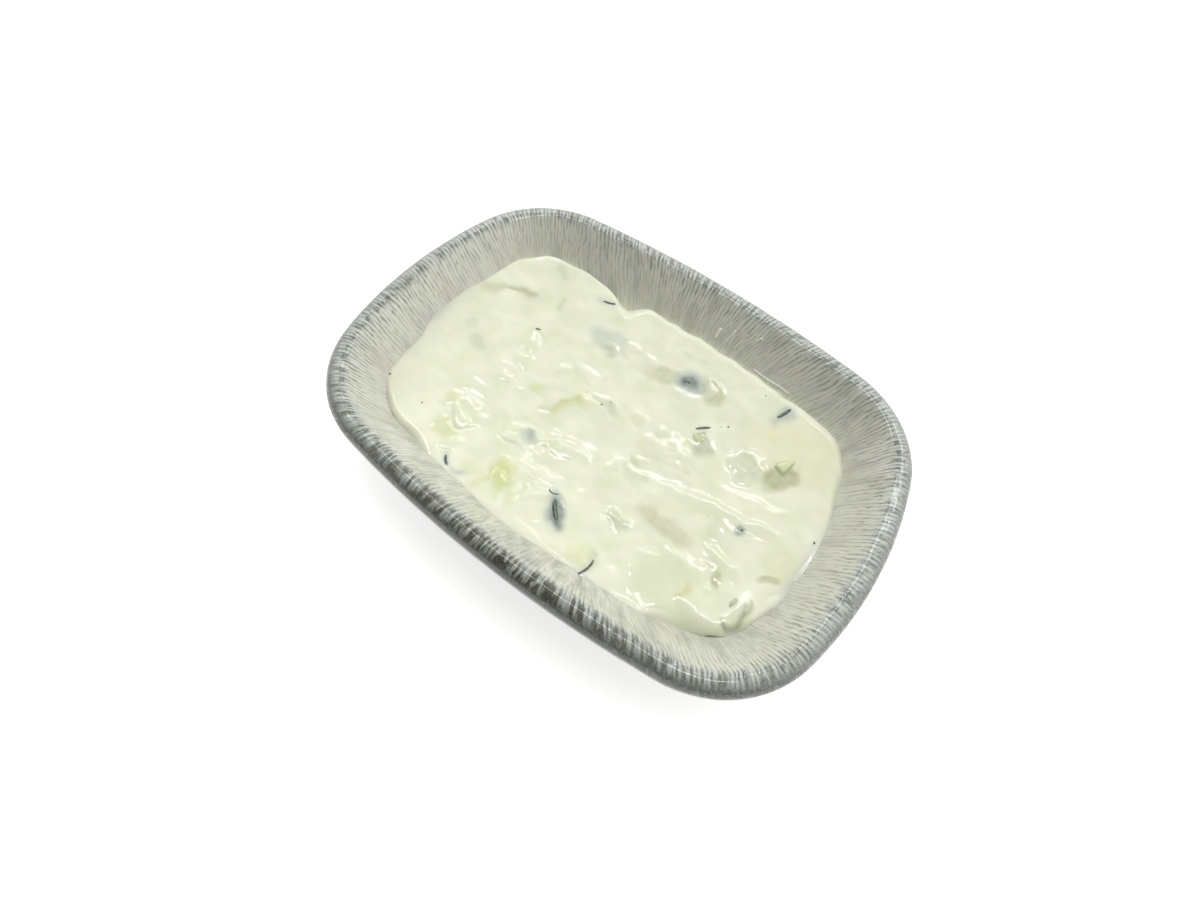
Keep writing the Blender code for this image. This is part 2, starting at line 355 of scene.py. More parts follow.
# Patterns that follow the runs: width in millimetres, width as a share of length, detail, and the
# roughness of that detail
glazePatterns = {
    "stray": (2.2, 0.15, 1.0, 0.5),
    "fine": (0.33, 0.10, 1.0, 0.5),      # the fine lines
    "gaps": (0.9, 0.30, 1.0, 0.5),       # where they break off
    "streaks": (4.5, 0.35, 2.0, 0.5),
    "smears": (2.0, 0.30, 2.0, 0.5),     # the wiped near side
    "bars": (1.15, 0.22, 2.0, 0.6),      # across the lip
}
# Patterns that don't: melted blotches, speckle, and patches that are thicker or thinner
glazeSpots = {
    "blots": (1.1, 0.8, 3.0, 0.65),
    "grain": (0.25, 0.8, 1.0, 0.5),
    "patches": (9.0, 1.0, 2.0, 0.5),
}
# Coats of colour: each lies over the last, as far as all its shares allow. A share names a pattern or an
# amount, gives the two values of it between which the coat changes, and how much of the coat there is at
# either. Depth is in millimetres along the surface from the crest of the lip, inwards
glazeCoats = {
    "wall": ("wallPale", (
        ("wallWarm", ("patches", 0.5, 0.68, 0.0, 0.5)),
        ("wallDark", ("streaks", 0.48, 0.68, 0.0, 0.24)),
        ("wallDark", ("lines", 0.46, 0.66, 0.0, 1.0), ("gaps", 0.34, 0.60, 0.3, 1.0),
         ("combed", 0.0, 1.0, 0.0, 1.0), ("depth", 14.0, 3.0, 0.38, 0.86)),
        ("wallDark", ("smears", 0.38, 0.72, 0.0, 0.45), ("wiped", 0.0, 1.0, 0.0, 1.0)),
    )),
    "lip": ("lipPale", (
        ("lipDark", ("lines", 0.46, 0.62, 0.0, 0.55)),
        ("lipDark", ("bars", 0.52, 0.61, 0.0, 0.8)),
        ("wall", ("fringe", 3.0, 6.0, 0.0, 1.0)),
    )),
    "outside": ("outsidePale", (
        # painted shade: the outside turns to the darker underside colour from 1.5 to 4 mm below the crest
        ("underside", ("depth", -1.5, -4.0, 0.0, 1.0)),
        ("outsideDark", ("blots", 0.42, 0.62, 0.0, 1.0), ("depth", -6.0, -1.5, 0.25, 1.0),
         ("wiped", 0.0, 1.0, 0.6, 1.0)),
        ("lipPale", ("bars", 0.50, 0.64, 0.0, 1.0), ("depth", -15.0, -5.0, 0.08, 0.40),
         ("wiped", 0.0, 1.0, 1.0, 0.2)),
    )),
    "whole": ("lip", (
        ("outside", ("depth", 0.3, -3.0, 0.0, 1.0)),
        ("olive", ("bars", 0.42, 0.56, 0.30, 1.0), ("wiped", 0.0, 1.0, 0.0, 1.0),
         ("depth", 2.0, 1.0, 0.0, 1.0), ("depth", -3.6, -1.6, 0.2, 1.0)),
        # dots of thinned glaze stand in a row just inside the lip, with a fainter tail below each
        ("mark", ("marks", 0.50, 0.60, 0.0, 0.8), ("combed", 0.0, 1.0, 0.0, 1.0),
         ("depth", 0.6, 1.2, 0.0, 1.0), ("depth", 2.7, 1.8, 0.10, 1.0), ("depth", 9.0, 3.0, 0.0, 1.0)),
        ("wallPale", ("grain", 0.54, 0.72, 0.0, 1.0), ("depth", 4.0, 1.0, 0.35, 0.7),
         ("wiped", 0.0, 1.0, 1.0, 0.3), ("depth", -5.0, -2.0, 0.3, 1.0)),
    )),
}


def glazeMaterial(ringRadius):
    material = newMaterial("milkyStonewareGlaze")
    tree = material.node_tree
    look = glazeLook
    multiply, multiplyAdd = {"operation": "MULTIPLY"}, {"operation": "MULTIPLY_ADD"}
    flow = addNode(tree, "Attribute", {}, {"attribute_name": "flow"}, "Vector")
    shares = {name: addNode(tree, "Attribute", {}, {"attribute_name": name}, "Fac")
              for name in ("combed", "wiped")}
    shares["depth"] = addNode(tree, "SeparateXYZ", {"Vector": flow}, output="Z")

    # the runs wander a little
    bends, aside = look["wander"]
    drift = addNode(tree, "TexNoise", {"Vector": flow, "Scale": bends, "Detail": 1.0}, output="Color")
    centred = addNode(tree, "VectorMath", {0: drift, 1: (0.5, 0.5, 0.5)}, {"operation": "SUBTRACT"})
    swung = addNode(tree, "VectorMath", {0: centred, "Scale": aside}, {"operation": "SCALE"})
    bent = addNode(tree, "VectorMath", {0: swung, 1: flow}, {"operation": "ADD"})
    for patterns, vector in ((glazePatterns, bent), (glazeSpots, flow)):
        for name, (width, stretch, detail, rough) in patterns.items():
            scaled = addNode(tree, "VectorMath", {0: vector, 1: (1.0, 1.0, stretch)}, multiply)
            shares[name] = addNode(tree, "TexNoise", {"Vector": scaled, "Scale": 1 / width, "Detail": detail,
                                                      "Roughness": rough}, output="Fac")

    # they are combed evenly round the dish, and each breaks off and starts again
    x, y = (addNode(tree, "SeparateXYZ", {"Vector": bent}, output=axis) for axis in "XY")
    angle = addNode(tree, "Math", {0: y, 1: x}, {"operation": "ARCTAN2"})
    runCount = round(2 * math.pi * ringRadius / look["runSpacing"])
    jitter = addNode(tree, "Math", {0: shares["stray"], 1: look["jitter"]}, multiply)
    phase = addNode(tree, "Math", {0: angle, 1: float(runCount), 2: jitter}, multiplyAdd)
    comb = addNode(tree, "Math", {0: phase}, {"operation": "SINE"})
    for name, first, scale, second in (
            ("lines", comb, look["combInLines"], shares["fine"]),
            ("marks", comb, look["combInMarks"], shares["gaps"]),
            ("fringe", shares["patches"], 4.0, shares["depth"])):     # the milky lip ends unevenly
        shares[name] = addNode(tree, "Math", {0: first, 1: scale, 2: second}, multiplyAdd)

    # amounts come in evenly, patterns and depth softly
    colours = {key: linear(value) for key, value in look.items() if isinstance(value, str)}
    for place, (ground, coats) in glazeCoats.items():
        colour = colours[ground]
        for tint, *reasons in coats:
            amount = None
            for name, start, end, low, high in reasons:
                change = "LINEAR" if name in ("combed", "wiped") else "SMOOTHSTEP"
                reason = addNode(tree, "MapRange", {"Value": shares[name], "From Min": start, "From Max": end,
                                                    "To Min": low, "To Max": high},
                                 {"interpolation_type": change})
                amount = addNode(tree, "Math", {0: amount, 1: reason}, multiply) if amount else reason
            colour = addNode(tree, "Mix", {0: amount, 6: colour, 7: colours[tint]}, {"data_type": "RGBA"}, 2)
        colours[place] = colour

    relief = addNode(tree, "Bump", {"Height": shares["lines"], "Strength": look["relief"],
                                    "Distance": bumpDepth})
    return finishMaterial(material, look, {"Base Color": colours["whole"], "Normal": relief})


# The glaze lies in shallow flutes down the wall and in soft beads along the lip
glazeRelief = {
    "fluteWidth": 3.2,
    "fluteStretch": 0.22,
    "depth": 0.05,
    "beadLength": 6.0,
    "beadWidth": 3.0,
    "beadDepth": 0.11,
    "lowest": -14.0,         # below this, measured from the crest of the lip, the foot stays plain
}
# How the runs change round the dish: direction and spread in degrees from its right end, and amount;
# a lean of 1 goes as far aside as down
glazeRuns = {
    "lean": ((66.0, 18.0, 0.47), (112.0, 18.0, -0.47), (229.0, 9.0, 0.45), (298.0, 14.0, -0.55)),
    "combed": ((32.0, 14.0, 0.45), (95.0, 34.0, 0.05), (202.0, 26.0, 0.35), (335.0, 16.0, 0.20)),
    "combedEverywhere": 0.80,
    "wiped": ((272.0, 44.0, 1.0),),
    "wipedAway": 0.32,       # how much less combed it is where it was wiped
}


def dishPiece():
    loop, outwards = dishEdge["places"], dishEdge["outwards"]
    points = dishSection()
    travel = distanceAlong(points)
    travel -= travel[np.argmax(points[:, 1])]
    degrees = dishEdge["run"] / dishEdge["length"] * 360.0
    lean = amountRound(degrees, glazeRuns["lean"])
    ringRadius = dishEdge["length"] / (2 * math.pi)
    slopes = np.gradient(points, axis=0)
    slopes /= np.linalg.norm(slopes, axis=1)[:, None]
    places = np.zeros((len(points), len(loop), 3))
    flow = np.zeros_like(places)
    relief = glazeRelief
    for ring, (inset, height) in enumerate(points):
        turns = np.radians(degrees) - lean * travel[ring] / ringRadius
        flow[ring, :, 0] = np.cos(turns) * ringRadius
        flow[ring, :, 1] = np.sin(turns) * ringRadius
        flow[ring, :, 2] = travel[ring]
        sunk = np.zeros(len(loop))
        if travel[ring] > relief["lowest"]:
            flutes = noiseAt(flow[ring] * (1.0, 1.0, relief["fluteStretch"]), relief["fluteWidth"])
            beads = noiseAt(flow[ring] * (1.0, 1.0, relief["beadLength"] / relief["beadWidth"]),
                            relief["beadLength"], 9.0)
            sunk = relief["depth"] * (0.5 + 0.5 * flutes) + relief["beadDepth"] * (0.5 + 0.5 * beads)
        places[ring, :, :2] = loop - outwards * (inset + slopes[ring, 1] * sunk)[:, None]
        places[ring, :, 2] = height - slopes[ring, 0] * sunk
    piece = addPiece("stoneware_dish", places.reshape(-1, 3), ringFaces(*places.shape[:2]),
                     glazeMaterial(ringRadius), "stoneware_glaze", ["dish"])
    wiped = amountRound(degrees, glazeRuns["wiped"])
    combed = glazeRuns["combedEverywhere"] + amountRound(degrees, glazeRuns["combed"])
    combed = np.clip(combed - glazeRuns["wipedAway"] * wiped, 0.0, 1.0)
    for name, kind, field, values in (("flow", "FLOAT_VECTOR", "vector", flow.reshape(-1)),
                                      ("combed", "FLOAT", "value", np.tile(combed, len(points))),
                                      ("wiped", "FLOAT", "value", np.tile(wiped, len(points)))):
        layer = piece.data.attributes.new(name, kind, "POINT")
        layer.data.foreach_set(field, values.astype(np.float32))


dishPiece()
print("dish built")

# Dip: thick strained yoghurt with a spooned skin, and cucumber under and through it
dip = {
    "level": 17.8,           # where it meets the wall
    "hollow": 15.6,          # height of the lowest line of the skin
    "lowLine": -8.0,         # where that line runs, in front of the middle
    "climb": 0.0038,         # slope gained in each millimetre in front of it and behind it
    "leftEnd": 3.8,          # rise towards the two ends, reached this far from the middle
    "rightEnd": 1.6,
    "endReach": 62.0,
    "shoulder": 1.9,         # width of the rounded edge
    "smear": 1.1,            # steepest that the skin climbs the wall where it was smeared up
    "pull": 1.5,             # mm that the outlines of lumps are drawn out of shape
    "pullWidth": 4.5,
    "thinLeft": (40.0, 56.0),        # the left end was wiped out thin: from where to where, leftwards
    "thinNear": (-24.0, 4.0),        # and towards the front
    "film": (0.9, 2.4),              # mm from the edge over which the dish shows through, and how much
    "filmShare": (0.5, 0.35),        # it shows; the second value is added where the dip is thin
    "intoWall": 0.7,         # how far the piece reaches into the dish
    "base": 0.62,            # size of its flat underside, a share of its rim
    "sunk": 0.5,             # how far that lies in the dish's floor
    "cells": 300,
    "edgeLobes": (           # direction and spread in degrees, rise in millimetres
        (150.0, 16.0, 1.9),
        (178.0, 14.0, 2.2),
        (122.0, 5.0, -3.0),
        (20.0, 9.0, -1.2),
        (-36.0, 8.0, -4.4),
        (-24.0, 8.0, -1.2),
        (-96.0, 13.0, 2.0),
        (-138.0, 5.0, -1.4),
        (-157.0, 7.0, 1.4),
    ),
    "edgeRipple": 0.35,      # small waves of the edge up and down the wall
    "rippleWidth": 6.0,
}
# Low waves run across the dish in the shallow hollow that the spoon left
folds = {
    "turn": 12.0,            # the way the waves run, degrees from the dish's long axis
    "waves": (               # length and width of a wave, and its height
        (46.0, 20.0, 0.34),
        (18.0, 9.0, 0.07),
        (8.0, 5.0, 0.022),
    ),
    "calm": 0.35,            # share of the waves that is left at the calm ends and at the back
    "calmEnds": (-50.0, 62.0),
    "calmBack": 26.0,
    "fade": (22.0, 16.0, 22.0),      # mm over which it grows calm at the left end, the right end, the back
}
# Creases where one lobe of yoghurt lies over the next: points, width, depth, how clearly it is tinted
# olive. In the back-left creases that tint is painted shade under the overhanging lobe; along the
# crescent it is the dark edge of its peel
creases = (
    # the first three: painted shade under the lobe that overhangs at the back left
    (((-59.0, 13.4), (-56.5, 15.4), (-53.5, 17.6), (-50.5, 19.2), (-47.0, 20.2)), 1.4, 0.08, 0.45),
    (((-53.0, 17.9), (-50.2, 19.3), (-47.4, 20.1)), 1.0, 0.08, 0.55),
    (((-38.6, 24.8), (-38.2, 21.6)), 0.8, 0.15, 0.30),
    (((54.4, -19.0), (55.2, -23.0), (54.6, -27.0), (52.8, -29.4), (51.6, -27.6)), 0.55, 0.08, 0.75),
    (((-20.5, -9.0), (-17.4, -5.6), (-15.2, -0.6), (-13.5, 3.6)), 1.0, 0.12, 0.25),
)
# Chopped cucumber and herbs under the skin: place, length, width, turn, how far the lump stands above
# the skin about it, tint, and how clearly that tint shows
lumps = (
    (-36.6, 7.4, 5.0, 5.4, 0.0, 0.36, "flesh", 0.4),
    (-34.4, 1.0, 5.2, 4.6, 10.0, 0.24, "flesh", 0.3),
    (-36.6, -2.6, 4.4, 2.2, 10.0, 0.14, "paste", 0.0),
    (-34.6, -6.4, 4.6, 3.0, 0.0, 0.18, "paste", 0.0),
    (-34.6, -22.4, 11.5, 9.0, 4.0, 0.45, "flesh", 0.3),
    (-35.4, -24.4, 6.4, 3.4, -20.0, 0.34, "paste", 0.0),
    (-40.8, -20.8, 4.0, 5.0, 30.0, 0.25, "juice", 0.5),
    (-38.0, -28.8, 2.2, 5.0, 0.0, 0.18, "paste", 0.0),
    (-35.6, -30.0, 7.0, 5.0, 10.0, 0.12, "juice", 0.5),
    (-31.2, -32.6, 4.6, 4.2, 10.0, 0.30, "flesh", 0.35),
    (-22.0, -34.5, 6.0, 5.0, 10.0, 0.10, "juice", 0.25),
    (-17.4, -34.8, 6.6, 2.8, 78.0, 0.30, "juice", 0.5),
    (-13.4, -33.8, 6.6, 2.6, 100.0, 0.30, "juice", 0.4),
    (-8.4, -34.6, 7.2, 3.0, 104.0, 0.32, "juice", 0.3),
    (-15.2, -30.2, 10.0, 7.4, -60.0, 0.12, "juice", 0.85),
    (-2.0, -32.0, 12.0, 8.0, 60.0, 0.28, "cream", 0.3),
    (-15.5, -2.0, 12.0, 4.0, 66.0, 0.06, "juice", 0.55),
    (-23.8, 6.4, 3.6, 4.6, 0.0, 0.20, "cream", 0.5),
    (-26.0, -3.5, 5.0, 3.0, 10.0, 0.06, "juice", 0.45),
    (-17.5, -17.8, 11.0, 7.0, 6.0, 0.40, "paste", 0.0),
    (-20.6, -20.2, 4.6, 2.6, 20.0, 0.16, "paste", 0.0),
    (-14.0, -21.2, 6.0, 2.4, 10.0, 0.16, "paste", 0.0),
    (-17.0, -16.9, 6.0, 4.0, 10.0, 0.03, "blue", 0.55),
    (-7.0, -14.4, 14.0, 5.0, 15.0, 0.28, "flesh", 0.3),
    (-8.0, -24.2, 12.0, 3.8, 10.0, 0.28, "paste", 0.0),
    (-19.5, 22.5, 12.0, 8.0, 10.0, 0.04, "blue", 0.45),
    (-17.4, 20.4, 4.6, 3.8, -8.0, 0.26, "grey", 0.6),
    (-12.5, 23.6, 4.2, 4.8, 0.0, 0.16, "cream", 0.4),
    (-5.5, 23.0, 3.8, 6.0, 20.0, 0.15, "cream", 0.4),
    (-48.5, -3.0, 6.0, 4.0, -30.0, 0.03, "grey", 0.45),
    (-54.0, 0.8, 5.0, 4.0, 30.0, 0.02, "grey", 0.3),
    (-45.0, 33.0, 6.0, 3.0, -10.0, 0.03, "grey", 0.45),
    (-6.0, 5.0, 8.0, 3.4, -8.0, 0.10, "grey", 0.55),
    (1.2, 23.0, 11.0, 6.0, 20.0, 0.08, "olive", 0.55),
    (4.4, 36.0, 9.0, 7.4, 0.0, 0.13, "paste", 0.0),
    (13.8, 35.2, 6.6, 7.0, 10.0, 0.12, "paste", 0.0),
    (8.0, 25.2, 9.4, 7.6, 20.0, -0.16, "blue", 0.9),
    (15.2, 26.4, 7.6, 6.6, -40.0, 0.20, "olive", 0.7),
    (14.2, 25.6, 3.6, 4.6, 0.0, 0.14, "cream", 0.8),
    (35.0, 32.6, 6.0, 4.0, 60.0, 0.03, "blue", 0.55),
    (43.0, 25.0, 26.0, 20.0, 20.0, 0.04, "butter", 0.35),
    (41.4, 28.4, 8.0, 4.4, 0.0, 0.03, "butter", 0.40),
    (36.0, 24.6, 4.0, 3.0, 0.0, 0.03, "butter", 0.45),
    (34.8, 13.0, 9.0, 9.6, 30.0, 0.42, "grey", 0.50),
    # painted shade in part: the skin on the wedge's shaded side, darker and greener
    (43.6, 15.4, 10.4, 7.4, 66.0, 0.10, "shade", 0.85),
    (22.4, 10.4, 6.4, 5.2, 70.0, 0.10, "grey", 0.85),
    (3.6, 6.4, 4.6, 3.8, 8.0, 0.20, "cream", 0.6),
    (11.2, 7.4, 4.4, 4.2, 0.0, 0.20, "flesh", 0.5),
    (15.6, 6.8, 3.8, 4.2, 0.0, 0.18, "cream", 0.5),
    (14.5, 1.8, 17.0, 5.0, 12.0, 0.10, "cream", 0.3),
    (11.0, -6.5, 11.0, 6.0, -30.0, 0.08, "grey", 0.4),
    (6.4, -8.6, 6.6, 2.8, 82.0, 0.16, "paste", 0.0),
    (22.0, 1.6, 4.0, 2.4, 0.0, 0.05, "juice", 0.4),
    (26.4, -15.8, 17.0, 5.6, -3.0, 0.06, "beige", 0.6),
    (16.3, -22.2, 7.4, 4.4, -12.0, 0.34, "grey", 0.75),
    (3.4, -23.6, 5.0, 6.0, 0.0, 0.14, "paste", 0.0),
    (30.0, -4.8, 13.0, 5.0, 6.0, 0.08, "flesh", 0.45),
    (43.0, -2.6, 16.0, 4.4, 12.0, 0.26, "grey", 0.25),
    (35.2, -27.0, 19.0, 15.0, 30.0, 0.34, "flesh", 0.45),
    (40.4, -27.6, 2.6, 5.0, -6.0, 0.04, "amber", 0.65),
    (44.0, -15.8, 10.6, 5.0, -14.0, 0.32, "flesh", 0.5),
    (45.0, -19.4, 5.0, 2.2, -50.0, 0.05, "olive", 0.8),
    (56.0, -6.0, 9.0, 9.0, 60.0, 0.05, "juice", 0.22),
    (55.2, -11.6, 5.0, 2.4, 40.0, 0.08, "olive", 0.7),
    (53.2, -24.0, 10.6, 4.4, 86.0, 0.42, "grey", 0.40),
    (59.6, -17.6, 11.0, 2.8, 74.0, 0.24, "paste", 0.0),
    (14.6, -35.4, 8.0, 6.4, 10.0, 0.10, "juice", 0.35),
    (2.8, -30.2, 11.0, 5.4, -45.0, 0.02, "blue", 0.85),
    (3.0, -30.4, 9.0, 3.0, -44.0, 0.02, "slate", 0.45),
    (0.0, -25.6, 3.4, 2.6, 20.0, 0.02, "blue", 0.6),
    (7.6, 25.2, 5.0, 3.8, 20.0, 0.02, "slate", 0.65),
    (43.3, -4.2, 2.6, 3.8, 10.0, 0.05, "slate", 0.55),
    (-17.2, -16.6, 3.0, 2.2, 0.0, 0.02, "slate", 0.22),
    (25.0, -35.0, 9.0, 5.0, 30.0, 0.16, "paste", 0.0),
)
lumpShape = {
    "power": 2.6,            # the higher, the squarer its outline
    "uneven": 0.22,          # how unevenly that runs
    "flank": 2.5,            # how far its side reaches from its middle at least; wide lumps are flat on top
    "moat": 0.22,            # depth of the crease round it, a share of its rise
    "moatPlace": 1.3,        # where that lies, in shares of the way to its edge, and how wide it is
    "moatWidth": 0.25,
    "tintEnd": (0.55, 1.30),
}
# Lobes: the skin climbs gently over the front of each, then drops behind its crest: middle of the
# crest, length, reach in front and behind, turn, rise
lobes = (
    (30.0, -4.6, 44.0, 7.0, 2.2, 11.5, 0.28),
    (14.0, 4.0, 13.0, 5.0, 1.6, 14.0, 0.28),
    (-7.0, -11.8, 15.0, 6.0, 2.0, 8.0, 0.34),
    (42.0, 4.0, 18.0, 6.0, 1.8, 12.0, 0.14),
)
# Smaller ones lie anywhere; width is a share of length, and rise one of width
strayLumps = {
    "seed": 5,
    "count": 20,
    "x": (-42.0, 56.0),
    "y": (-38.0, 12.0),
    "margin": 5.0,           # kept free inside the dip's edge
    "length": (3.0, 8.0),
    "width": (0.4, 0.7),
    "turn": (-36.0, 22.0),
    "rise": 0.035,
    "tints": ("flesh", "cream", "grey", "juice", "paste"),
    "share": 0.2,
}
# Strained yoghurt: a wet, dense white paste, faintly green from the cucumber's juice. Light goes a
# millimetre or two into it, which softens its folds and lets what lies just under it tint the skin,
# and the whey on top gives it a thin glossy film.
yoghurtLook = {
    "paste": "#eff1dd",
    "cream": "#dcdfc6",
    "flesh": "#d5dabb",
    "juice": "#d0d799",
    "grey": "#c3c8af",
    "shade": "#b3b88f",
    # painted shade on the skin at the wedge's shaded side
    "amber": "#d5cf9a",
    "blue": "#b9c2bc",
    "slate": "#5f6c69",
    # olive is also the painted shade in the back-left creases
    "olive": "#babe97",
    "beige": "#c8c6a6",
    "butter": "#e9e6be",
    "film": "#d5d7c4",       # where the thin edge lets the dish show through
    "roughness": 0.085,
    "ior": 1.36,
    "depth": 1.2,            # mm that light travels in it
}
# Grated cucumber and juice all through it: tint, size in millimetres, largest share
mottle = (("flesh", 7.0, 0.24), ("grey", 2.6, 0.16), ("juice", 4.2, 0.12))


# Noise over the plan, stretched along a turned axis, on arrays of any shape
def planNoise(x, y, length, width, turn=0.0, shift=0.0):
    along, across = localPlace(x, y, 0.0, 0.0, turn)
    flat = zip((along / length).ravel(), (across / width).ravel())
    return np.array([noise.noise(Vector((a, b, shift))) for a, b in flat]).reshape(np.shape(x))


# Where the dip ends on the wall: its level there, with lobes and with ripples round an ellipse about as
# big as the dip
def edgeLevel(x, y):
    direction = np.degrees(np.arctan2(y, x))
    turn, width = np.radians(direction), dip["rippleWidth"]
    ripple = planNoise(np.cos(turn) * 60.0, np.sin(turn) * 40.0, width, width, 0.0, 3.0)
    return dip["level"] + amountRound(direction, dip["edgeLobes"]) + dip["edgeRipple"] * ripple * 2.0


# Distance to a run of straight stretches
def runDistance(x, y, points):
    nearest = np.full(np.shape(x), 1e9)
    for (ax, ay), (bx, by) in zip(points, points[1:]):
        length = math.hypot(bx - ax, by - ay)
        along, across = localPlace(x, y, ax, ay, math.degrees(math.atan2(by - ay, bx - ax)))
        nearest = np.minimum(nearest, np.hypot(across, along - np.clip(along, 0.0, length)))
    return nearest


def foldRise(x, y):
    f = folds
    rise = 0.0
    (left, right), back = f["calmEnds"], f["calmBack"]
    fromLeft, fromRight, fromBack = f["fade"]
    lively = smoothstep(x - 0.5 * y, left, left + fromLeft) * smoothstep(x, right, right - fromRight)
    lively = lively * smoothstep(y, back, back - fromBack)
    lively = f["calm"] + (1.0 - f["calm"]) * lively
    for level, (length, width, height) in enumerate(f["waves"]):
        rise = rise + lively * height * 2.0 * planNoise(x, y, length, width, f["turn"], 5.0 + 7.0 * level)
    return rise


def strayLumpList():
    draw = random.Random(strayLumps["seed"])
    made = []
    while len(made) < strayLumps["count"]:
        x, y = draw.uniform(*strayLumps["x"]), draw.uniform(*strayLumps["y"])
        length = draw.uniform(*strayLumps["length"])
        width = length * draw.uniform(*strayLumps["width"])
        turn, rise = draw.uniform(*strayLumps["turn"]), width * strayLumps["rise"]
        tint = draw.choice(strayLumps["tints"])
        if insetAt(x, y) > wallInset(dip["level"]) + strayLumps["margin"]:
            made.append((x, y, length, width, turn, rise, tint, strayLumps["share"]))
    return made


# Soft coloured lines where something slender lies under the skin: points, width, tint, share
stains = (
    (((-29.8, -35.6), (-28.4, -37.2), (-26.2, -38.4), (-24.2, -38.5), (-22.8, -36.9)), 0.9, "blue", 0.7),
    (((51.9, -28.6), (53.4, -29.0), (54.8, -27.6), (54.9, -24.8), (54.2, -21.0)), 0.6, "slate", 0.40),
    (((16.4, -41.2), (17.6, -38.8), (18.2, -36.0), (17.4, -33.4)), 1.1, "blue", 0.5),
    (((33.8, 29.2), (35.0, 31.6), (36.0, 34.6)), 1.6, "blue", 0.6),
    (((-30.0, 32.0), (-27.0, 33.0), (-24.0, 34.4)), 1.1, "blue", 0.5),
    (((0.4, -27.6), (2.4, -30.2), (5.6, -33.2)), 1.5, "slate", 0.45),
)


# How far out places lie in an outline between an ellipse and a box; 1 on the outline itself
def boxyReach(along, across, halfLength, halfWidth):
    power = lumpShape["power"]
    return (np.abs(along / halfLength) ** power + np.abs(across / halfWidth) ** power) ** (1 / power)


# The skin's height and its tint at places on the plan
def dipSkin(x, y):
    edge = edgeLevel(x, y)
    inside = np.maximum(insetAt(x, y) - wallInset(edge), 0.0)
    skin = dip["hollow"] + 0.5 * dip["climb"] * (y - dip["lowLine"]) ** 2
    skin = skin + np.where(x < 0, dip["leftEnd"], dip["rightEnd"]) * (np.abs(x) / dip["endReach"]) ** 3
    # the rounded edge is wider where the skin has far to rise or to fall to it
    shoulder = np.maximum(2.0 * (skin - edge), 3.0 * (edge - skin) / dip["smear"])
    swell = 1.0 - (1.0 - np.clip(inside / np.maximum(dip["shoulder"], shoulder), 0.0, 1.0)) ** 3
    skin = skin + foldRise(x, y)
    width = dip["pullWidth"]
    bentX, bentY = (place + dip["pull"] * planNoise(x, y, width, width, 0.0, shift)
                    for place, shift in ((x, 41.0), (y, 47.0)))
    for middleX, middleY, length, front, back, turn, rise in lobes:
        along, across = localPlace(bentX, bentY, middleX, middleY, turn)
        reach = boxyReach(along, across, length / 2, np.where(across > 0, back, front))
        skin = skin + rise * np.exp(-reach ** 3)
    shade = []               # how far each crease is tinted, in part painted shade
    for points, width, depth, clear in creases:
        sunk = np.exp(-(runDistance(bentX, bentY, points) / width) ** 2)
        skin = skin - depth * sunk
        shade.append(sunk * clear)
    colour = np.empty(np.shape(x) + (3,))
    colour[:] = linear(yoghurtLook["paste"])[:3]
    for tint, size, most in mottle:
        spots = 0.5 + 1.3 * planNoise(x, y, size * 1.5, size, folds["turn"], size)
        colour = tinted(colour, most * np.clip(spots, 0.0, 1.0), yoghurtLook, tint)
    # outlines are a little uneven, and tints come and go
    uneven = planNoise(x, y, 2.6, 2.6, 0.0, 23.0)
    patchy = planNoise(x, y, 1.6, 1.6, 0.0, 29.0)
    shape = lumpShape
    for middleX, middleY, length, width, turn, rise, tint, clear in (*strayLumpList(), *lumps):
        along, across = localPlace(bentX, bentY, middleX, middleY, turn)
        broad = max(1.0, width / 2 / shape["flank"])
        reach = boxyReach(along, across, length / 2, width / 2) * (1.0 + shape["uneven"] / broad * uneven)
        side = np.maximum(1.0 + (reach - 1.0) * broad, 0.0)
        crease = shape["moat"] * np.exp(-((side - shape["moatPlace"]) / shape["moatWidth"]) ** 2)
        skin = skin + rise * (np.exp(-side ** 3) - crease)
        share = clear * (1.0 - smoothstep(reach, *shape["tintEnd"])) * (0.9 + 0.3 * patchy)
        colour = tinted(colour, np.clip(share, 0.0, 1.0), yoghurtLook, tint)
    # the creases' olive tint: painted shade at the back left, the crescent's dark peel edge elsewhere
    for share in shade:
        colour = tinted(colour, share, yoghurtLook, "olive")
    for points, width, tint, share in stains:
        share = share * np.exp(-(runDistance(x, y, points) / width) ** 2) * (0.8 + 0.6 * patchy)
        colour = tinted(colour, np.clip(share, 0.0, 1.0), yoghurtLook, tint)
    thin = smoothstep(-x, *dip["thinLeft"]) * smoothstep(-y, *dip["thinNear"])
    width, share = (least + more * thin for least, more in (dip["film"], dip["filmShare"]))
    film = np.exp(-inside / width) * share
    return edge + swell * (skin - edge), tinted(colour, film, yoghurtLook, "film")


def skinAt(x, y):
    return dipSkin(np.array([x]), np.array([y]))[0][0]


def yoghurtMaterial():
    material = newMaterial("strainedYoghurt")
    tree = material.node_tree
    tint = addNode(tree, "VertexColor", {}, {"layer_name": "tint"})
    return finishMaterial(material, yoghurtLook, {
        "Base Color": tint, "Subsurface Weight": 0.7, "Subsurface Radius": (1.0, 1.0, 0.9),
        "Subsurface Scale": yoghurtLook["depth"] * millimetre})


# A square grid pulled out so that its rim follows the dip's edge on the wall
def dipGrid():
    loop = dishEdge["places"]
    reachIn = wallInset(edgeLevel(*loop.T)) - dip["intoWall"]
    rim = loop - dishEdge["outwards"] * reachIn[:, None]
    direction = np.unwrap(np.arctan2(rim[:, 1], rim[:, 0]))
    reach = np.hypot(*rim.T)
    across = np.linspace(-1.0, 1.0, dip["cells"] + 1)
    u, v = np.meshgrid(across, across, indexing="ij")
    share = np.maximum(np.abs(u), np.abs(v))
    angle = np.mod(np.arctan2(v * rim[:, 1].max(), u * rim[:, 0].max()), 2 * math.pi)
    radius = np.interp(angle, direction, reach, period=2 * math.pi)
    return np.cos(angle) * radius * share, np.sin(angle) * radius * share


